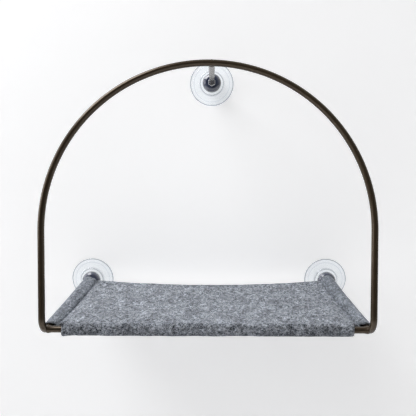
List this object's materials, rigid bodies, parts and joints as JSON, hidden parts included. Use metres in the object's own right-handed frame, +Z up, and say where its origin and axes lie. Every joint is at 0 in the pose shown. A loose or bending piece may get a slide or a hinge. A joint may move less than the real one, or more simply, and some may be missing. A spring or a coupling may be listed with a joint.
{
  "type": "cat window hammock",
  "caption": "Arched rod frame held to a window pane by suction cups with screw-on hubs, carrying a felt sling on its side rods and crossbar for a cat to lie on.",
  "frame": {"origin": "on the window pane, midway between the two lower suction cups and level with the side rods", "axes": "+X to the right seen from the room, +Y into the pane, +Z up"},
  "size_m": [0.568, 0.3013, 0.4813],
  "materials": {
    "bronze_steel": "satin dark bronze",
    "grey_felt": "grey flecked felt",
    "hook_and_loop": "black hook and loop tape",
    "seam_thread": "grey sewing thread",
    "clear_vinyl": "clear soft vinyl",
    "natural_nylon": "natural nylon",
    "dark_gloss": "glossy dark blue-grey",
    "nut_steel": "darkened steel"
  },
  "bodies": {
    "frame": {"hoop_rod": "bronze_steel", "crossbar": "bronze_steel", "top_stay": "bronze_steel", "felt_sling": "grey_felt", "loop_strip": "hook_and_loop", "hook_strip": "hook_and_loop", "left_seam_thread": "seam_thread", "right_seam_thread": "seam_thread"},
    "left_washer": {"left_thrust_washer": "natural_nylon"},
    "left_hub": {"left_hub_cap": "dark_gloss", "left_hex_nut": "nut_steel"},
    "left_cup": {"left_suction_cup": "clear_vinyl"},
    "right_washer": {"right_thrust_washer": "natural_nylon"},
    "right_hub": {"right_hub_cap": "dark_gloss", "right_hex_nut": "nut_steel"},
    "right_cup": {"right_suction_cup": "clear_vinyl"},
    "top_washer": {"top_thrust_washer": "natural_nylon"},
    "top_hub": {"top_hub_cap": "dark_gloss", "top_hex_nut": "nut_steel"},
    "top_cup": {"top_suction_cup": "clear_vinyl"}
  },
  "joints": [
    {"name": "left_travel", "type": "slide", "parent": "frame", "child": "left_washer", "axis": [0, 1, 0], "range_m": [0, 0.0025]},
    {"name": "left_hub_turn", "type": "hinge", "parent": "left_washer", "child": "left_hub", "pos_m": [-0.241, 0, 0], "axis": [0, 1, 0], "range_deg": [0, 720]},
    {"name": "left_cup_swivel", "type": "hinge", "parent": "left_washer", "child": "left_cup", "pos_m": [-0.241, 0, 0], "axis": [0, 1, 0], "continuous": true},
    {"name": "right_travel", "type": "slide", "parent": "frame", "child": "right_washer", "axis": [0, 1, 0], "range_m": [0, 0.0025]},
    {"name": "right_hub_turn", "type": "hinge", "parent": "right_washer", "child": "right_hub", "pos_m": [0.241, 0, 0], "axis": [0, 1, 0], "range_deg": [0, 720]},
    {"name": "right_cup_swivel", "type": "hinge", "parent": "right_washer", "child": "right_cup", "pos_m": [0.241, 0, 0], "axis": [0, 1, 0], "continuous": true},
    {"name": "top_travel", "type": "slide", "parent": "frame", "child": "top_washer", "axis": [0, 1, 0], "range_m": [0, 0.0025]},
    {"name": "top_hub_turn", "type": "hinge", "parent": "top_washer", "child": "top_hub", "pos_m": [0.006, 0, 0.39527], "axis": [0, 1, 0], "range_deg": [0, 720]},
    {"name": "top_cup_swivel", "type": "hinge", "parent": "top_washer", "child": "top_cup", "pos_m": [0.006, 0, 0.39527], "axis": [0, 1, 0], "continuous": true}
  ],
  "couplings": [
    {"joint": "left_hub_turn", "follows": "left_travel", "rad_per_m": 5026.5},
    {"joint": "right_hub_turn", "follows": "right_travel", "rad_per_m": 5026.5},
    {"joint": "top_hub_turn", "follows": "top_travel", "rad_per_m": 5026.5}
  ]
}
